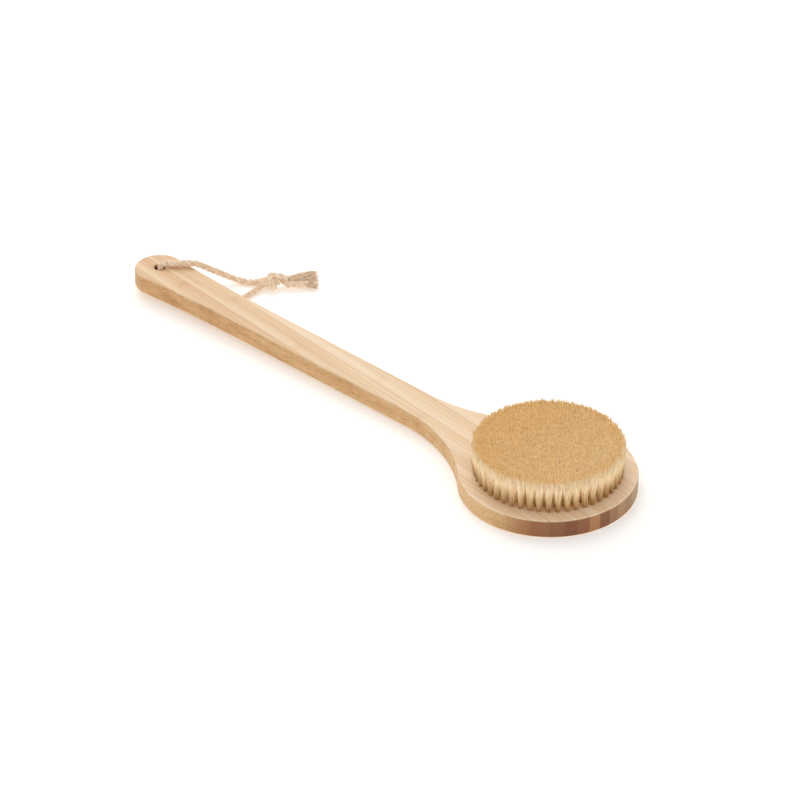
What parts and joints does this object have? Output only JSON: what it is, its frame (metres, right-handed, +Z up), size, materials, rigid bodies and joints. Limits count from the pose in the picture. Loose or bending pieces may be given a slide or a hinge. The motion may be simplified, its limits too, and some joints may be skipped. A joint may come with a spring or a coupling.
{
  "type": "body dry brush",
  "caption": "Long flat bamboo paddle with a round head of natural bristle tufts and a knotted cotton hanging cord through the grip.",
  "frame": {"origin": "on the surface the brush lies on, under the middle of the board's length and width", "axes": "+X along the board from the grip to the head, +Y across the board, +Z up out of the bristles"},
  "size_m": [0.3681, 0.1217, 0.0311],
  "materials": {
    "bamboo_pale": "sanded, unvarnished bamboo, satin",
    "bamboo_tan": "sanded, unvarnished bamboo, satin",
    "bristle": "blond natural bristle, trimmed flat",
    "anchor_wire": "drawn flat wire",
    "cotton": "undyed twisted cotton"
  },
  "bodies": {
    "brush": {"bamboo_strip_01": "bamboo_pale", "bamboo_strip_02": "bamboo_tan", "bamboo_strip_03": "bamboo_pale", "bamboo_strip_04": "bamboo_tan", "bamboo_strip_05": "bamboo_pale", "bamboo_strip_06": "bamboo_tan", "bamboo_strip_07": "bamboo_pale", "bamboo_strip_08": "bamboo_tan", "bamboo_strip_09": "bamboo_pale", "bamboo_strip_10": "bamboo_tan", "bamboo_strip_11": "bamboo_pale", "bamboo_strip_12": "bamboo_tan", "bamboo_strip_13": "bamboo_pale", "bamboo_strip_14": "bamboo_tan", "bamboo_strip_15": "bamboo_pale", "bamboo_strip_16": "bamboo_tan", "bamboo_strip_02_grip": "bamboo_tan", "bamboo_strip_03_grip": "bamboo_pale", "bamboo_strip_04_grip": "bamboo_tan", "bamboo_strip_05_grip": "bamboo_pale", "tuft_row_1": "bristle", "tuft_row_2": "bristle", "tuft_row_3": "bristle", "tuft_row_4": "bristle", "tuft_row_5": "bristle", "tuft_row_6": "bristle", "tuft_row_7": "bristle", "tuft_row_8": "bristle", "tuft_anchors": "anchor_wire"},
    "hang_loop": {"cord_upper_leg": "cotton", "cord_lower_leg": "cotton", "cord_knot": "cotton", "cord_tail_loose": "cotton", "cord_tail_twisted": "cotton"}
  },
  "joints": [
    {"name": "loop_swing", "type": "hinge", "parent": "brush", "child": "hang_loop", "pos_m": [-0.1695, 0, 0.0096], "axis": [0, 0, 1], "range_deg": [0, 225]}
  ]
}
